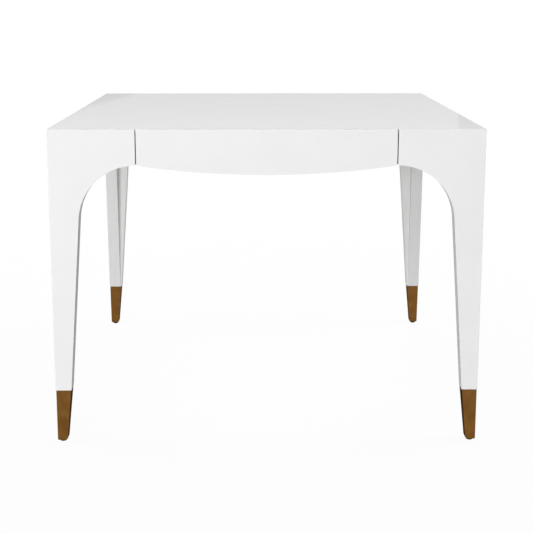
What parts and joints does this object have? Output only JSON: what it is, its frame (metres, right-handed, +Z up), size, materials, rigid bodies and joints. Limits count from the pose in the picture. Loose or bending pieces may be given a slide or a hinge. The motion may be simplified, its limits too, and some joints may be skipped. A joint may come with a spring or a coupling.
{
  "type": "dining table",
  "caption": "Square lacquered table whose tapering legs arch into a bowed apron and stand on small brass sabots.",
  "frame": {"origin": "on the floor under the middle of the top", "axes": "+Z up, +X to the right seen from the front, +Y to the back"},
  "size_m": [1.016, 1.016, 0.762],
  "materials": {
    "white_lacquer": "high-gloss white lacquer over sealed hardwood and fibreboard",
    "poplar": "planed, unfinished",
    "birch_ply": "sawn, unfinished",
    "beech": "turned, unfinished",
    "antique_brass": "cast, fine brushed, antique brown",
    "black_nylon": "moulded, matte",
    "zinc_steel": "zinc plated"
  },
  "bodies": {
    "root": {"tabletop": "white_lacquer", "front_left_leg_front_board": "white_lacquer", "front_left_leg_side_board": "white_lacquer", "front_right_leg_front_board": "white_lacquer", "front_right_leg_side_board": "white_lacquer", "back_right_leg_back_board": "white_lacquer", "back_right_leg_side_board": "white_lacquer", "back_left_leg_back_board": "white_lacquer", "back_left_leg_side_board": "white_lacquer", "front_apron": "white_lacquer", "right_apron": "white_lacquer", "back_apron": "white_lacquer", "left_apron": "white_lacquer", "front_backing_rail": "poplar", "right_backing_rail": "poplar", "back_backing_rail": "poplar", "left_backing_rail": "poplar", "front_left_corner_block": "poplar", "front_right_corner_block": "poplar", "back_right_corner_block": "poplar", "back_left_corner_block": "poplar", "left_batten": "poplar", "right_batten": "poplar", "front_left_leg_spline": "birch_ply", "front_right_leg_spline": "birch_ply", "back_right_leg_spline": "birch_ply", "back_left_leg_spline": "birch_ply", "apron_dowels": "beech", "front_left_sabot": "antique_brass", "front_right_sabot": "antique_brass", "back_right_sabot": "antique_brass", "back_left_sabot": "antique_brass", "front_left_glide": "black_nylon", "front_right_glide": "black_nylon", "back_right_glide": "black_nylon", "back_left_glide": "black_nylon", "rail_screws": "zinc_steel", "top_screws": "zinc_steel", "batten_screws": "zinc_steel", "corner_block_screws": "zinc_steel", "glide_nails": "zinc_steel"}
  },
  "joints": []
}
